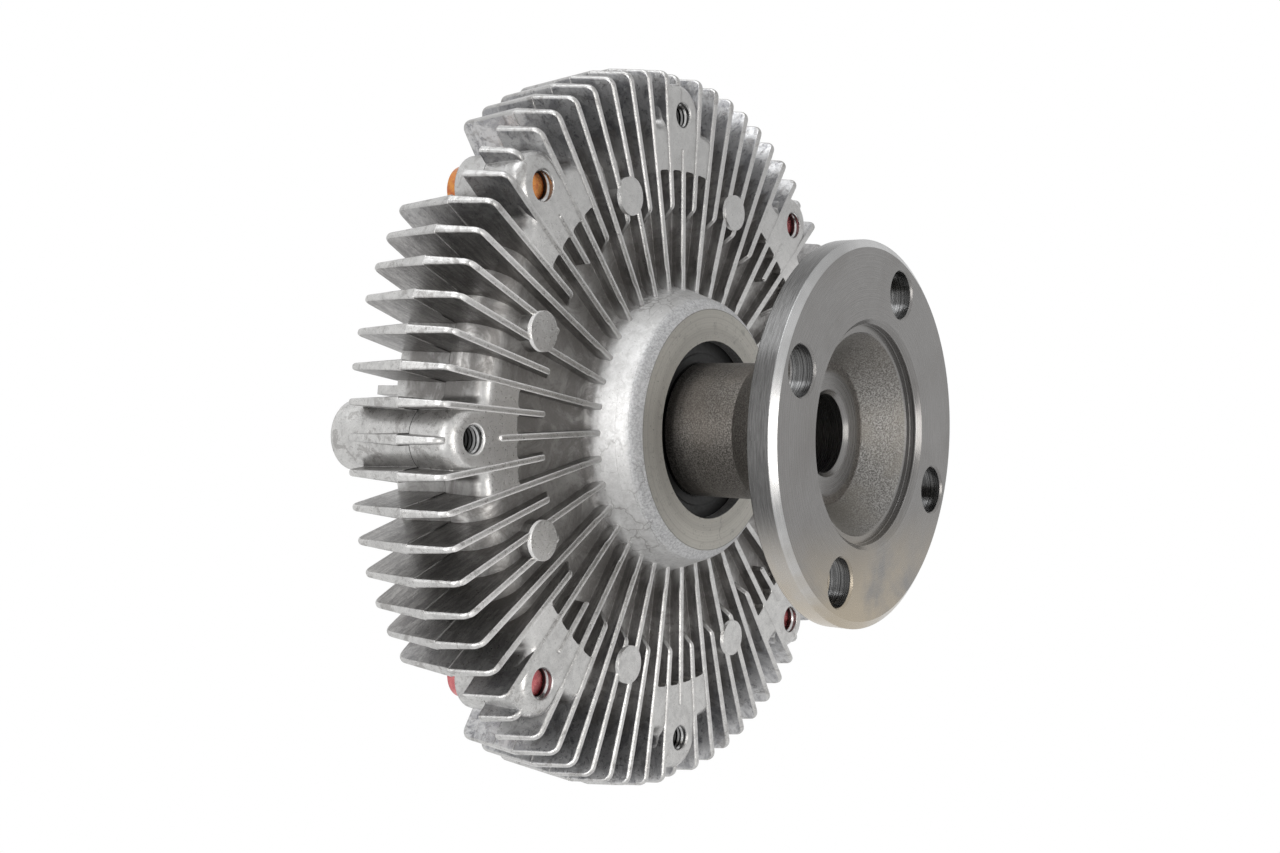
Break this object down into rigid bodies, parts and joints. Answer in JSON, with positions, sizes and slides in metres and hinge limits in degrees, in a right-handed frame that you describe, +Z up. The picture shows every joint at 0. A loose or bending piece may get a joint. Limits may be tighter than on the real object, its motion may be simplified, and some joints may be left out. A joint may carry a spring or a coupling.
{
  "type": "viscous fan clutch",
  "caption": "Viscous fan clutch: finned two-part aluminium housing turning on a flanged steel drive shaft, with a rotor, bearing, valve and bimetal coil inside.",
  "frame": {"origin": "centre of the drive flange's mating face", "axes": "+Y along the spin axis, from the drive flange towards the bimetal coil; +Z up; a fan boss at +X and at +Z"},
  "size_m": [0.1998, 0.1055, 0.1998],
  "materials": {
    "forged_steel": "turned satin steel, rough forged neck",
    "cast_aluminium": "bright die-cast aluminium",
    "spring_steel": "phosphated spring steel",
    "bearing_steel": "ground bearing steel",
    "cage_brass": "pressed cage",
    "black_rubber": "moulded nitrile rubber",
    "plate_steel": "stamped steel",
    "yellow_zinc": "yellow passivated zinc plate",
    "bimetal": "rolled bimetal strip"
  },
  "bodies": {
    "shaft": {"drive_shaft": "forged_steel", "rotor": "cast_aluminium", "rotor_retaining_ring": "spring_steel", "bearing_inner_race": "bearing_steel"},
    "ball_set": {"bearing_balls": "bearing_steel", "bearing_cage": "cage_brass"},
    "housing": {"rear_housing": "cast_aluminium", "front_cover": "cast_aluminium", "bearing_outer_race": "bearing_steel", "bearing_rear_seal": "black_rubber", "bearing_front_seal": "black_rubber", "bearing_retaining_ring": "spring_steel", "joint_seal_ring": "black_rubber", "cover_screw_1": "yellow_zinc", "cover_screw_2": "yellow_zinc", "cover_screw_3": "yellow_zinc", "cover_screw_4": "yellow_zinc", "divider_plate": "plate_steel", "divider_screws": "yellow_zinc", "valve_shaft_seal": "black_rubber", "bimetal_coil": "bimetal", "coil_bracket": "plate_steel", "bracket_screws": "yellow_zinc"},
    "valve": {"valve_arm": "plate_steel", "valve_shaft": "plate_steel"}
  },
  "joints": [
    {"name": "housing_spin", "type": "hinge", "parent": "shaft", "child": "housing", "pos_m": [0, 0.0585, 0], "axis": [0, 1, 0], "continuous": true},
    {"name": "ball_spin", "type": "hinge", "parent": "shaft", "child": "ball_set", "pos_m": [0, 0.0585, 0], "axis": [0, 1, 0], "continuous": true},
    {"name": "valve_turn", "type": "hinge", "parent": "housing", "child": "valve", "pos_m": [0, 0.09, 0], "axis": [0, 1, 0], "range_deg": [0, 30], "stiffness_Nm_per_rad": 0.02, "deforming": ["bimetal_coil"]}
  ],
  "couplings": [
    {"joint": "ball_spin", "follows": "housing_spin", "ratio": 0.578}
  ]
}
